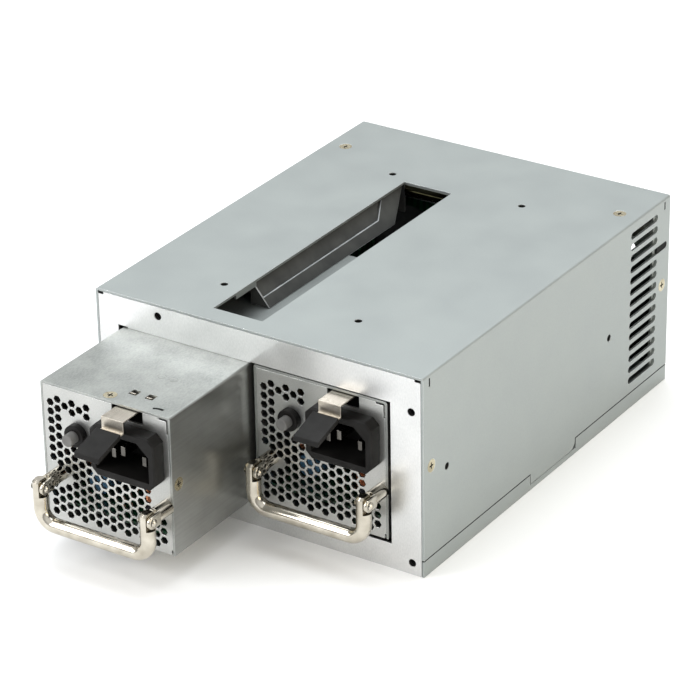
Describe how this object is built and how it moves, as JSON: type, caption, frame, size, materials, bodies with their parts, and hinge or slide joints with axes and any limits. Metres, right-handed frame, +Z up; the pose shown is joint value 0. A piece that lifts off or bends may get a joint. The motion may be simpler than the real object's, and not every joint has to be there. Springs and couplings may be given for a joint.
{
  "type": "hot swap server power supply",
  "caption": "Steel-cased redundant supply with hot swap modules side by side, one part way out. Each has a mains inlet, a sprung latch, a push-button, a bail handle and a fan.",
  "frame": {"origin": "centre of the housing's underside", "axes": "+X to the right seen from the front, +Y to the rear along the housing's length, +Z up"},
  "size_m": [0.1484, 0.2678, 0.084],
  "materials": {
    "zinc_steel": "satin",
    "bright_steel": "satin",
    "nickel": "polished",
    "aluminium": "satin",
    "copper": "satin",
    "black_plastic": "matte",
    "black_rubber": "matte",
    "grey_plastic": "satin",
    "white_plastic": "matte",
    "amber_plastic": "satin",
    "green_board": "satin",
    "blue_sleeve": "satin"
  },
  "bodies": {
    "housing": {"base_tray": "zinc_steel", "front_plate": "bright_steel", "rear_panel": "zinc_steel", "top_cover": "zinc_steel", "bay_floor": "zinc_steel", "bay_divider": "zinc_steel", "bay_deck": "zinc_steel", "duct_liner": "black_plastic", "backplane_board": "green_board", "backplane_sockets": "black_plastic", "backplane_standoffs": "nickel", "backplane_screws": "nickel", "output_headers": "white_plastic", "output_capacitors": "blue_sleeve", "alarm_buzzer": "black_plastic", "outlet_grommet": "black_rubber", "housing_screws": "nickel"},
    "left_module": {"left_module_tray": "zinc_steel", "left_front_panel": "bright_steel", "left_module_cover": "bright_steel", "left_cover_screws": "nickel", "left_inlet_body": "black_plastic", "left_inlet_pins": "nickel", "left_latch_anchor": "bright_steel", "left_button_bezel": "black_plastic", "left_handle_posts": "nickel", "left_handle_pins": "nickel", "left_fan_frame": "black_plastic", "left_circuit_board": "green_board", "left_heat_sinks": "aluminium", "left_bulk_capacitor": "blue_sleeve", "left_transformer": "amber_plastic", "left_line_filter": "copper"},
    "left_latch": {"left_latch_spring": "bright_steel", "left_latch_tab": "black_plastic"},
    "left_button": {"left_button_plunger": "grey_plastic"},
    "left_handle": {"left_handle_bail": "nickel"},
    "left_fan": {"left_fan_rotor": "black_plastic"},
    "right_module": {"right_module_tray": "zinc_steel", "right_front_panel": "bright_steel", "right_module_cover": "bright_steel", "right_cover_screws": "nickel", "right_inlet_body": "black_plastic", "right_inlet_pins": "nickel", "right_latch_anchor": "bright_steel", "right_button_bezel": "black_plastic", "right_handle_posts": "nickel", "right_handle_pins": "nickel", "right_fan_frame": "black_plastic", "right_circuit_board": "green_board", "right_heat_sinks": "aluminium", "right_bulk_capacitor": "blue_sleeve", "right_transformer": "amber_plastic", "right_line_filter": "copper"},
    "right_latch": {"right_latch_spring": "bright_steel", "right_latch_tab": "black_plastic"},
    "right_button": {"right_button_plunger": "grey_plastic"},
    "right_handle": {"right_handle_bail": "nickel"},
    "right_fan": {"right_fan_rotor": "black_plastic"}
  },
  "joints": [
    {"name": "left_slide", "type": "slide", "parent": "housing", "child": "left_module", "axis": [0, -1, 0], "range_m": [-0.052, 0.106]},
    {"name": "left_handle_swing", "type": "hinge", "parent": "left_module", "child": "left_handle", "pos_m": [-0.0302, -0.1595, 0.0324], "axis": [-1, 0, 0], "range_deg": [-3, 180]},
    {"name": "left_latch_press", "type": "hinge", "parent": "left_module", "child": "left_latch", "pos_m": [-0.022, -0.1263, 0.06855], "axis": [1, 0, 0], "range_deg": [0, 3.5], "stiffness_Nm_per_rad": 1.2, "springref_deg": -2.86},
    {"name": "left_button_press", "type": "slide", "parent": "left_module", "child": "left_button", "axis": [0, 1, 0], "range_m": [0, 0.0015], "stiffness_N_per_m": 300, "springref_m": -0.003},
    {"name": "left_fan_spin", "type": "hinge", "parent": "left_module", "child": "left_fan", "pos_m": [-0.0324, -0.024, 0.0465], "axis": [0, 1, 0], "continuous": true},
    {"name": "right_slide", "type": "slide", "parent": "housing", "child": "right_module", "axis": [0, -1, 0], "range_m": [0, 0.158]},
    {"name": "right_handle_swing", "type": "hinge", "parent": "right_module", "child": "right_handle", "pos_m": [0.031, -0.1075, 0.0324], "axis": [-1, 0, 0], "range_deg": [-3, 180]},
    {"name": "right_latch_press", "type": "hinge", "parent": "right_module", "child": "right_latch", "pos_m": [0.0392, -0.0743, 0.06855], "axis": [1, 0, 0], "range_deg": [0, 3.5], "stiffness_Nm_per_rad": 1.2, "springref_deg": -2.86},
    {"name": "right_button_press", "type": "slide", "parent": "right_module", "child": "right_button", "axis": [0, 1, 0], "range_m": [0, 0.0015], "stiffness_N_per_m": 300, "springref_m": -0.003},
    {"name": "right_fan_spin", "type": "hinge", "parent": "right_module", "child": "right_fan", "pos_m": [0.0288, 0.028, 0.0465], "axis": [0, 1, 0], "continuous": true}
  ]
}
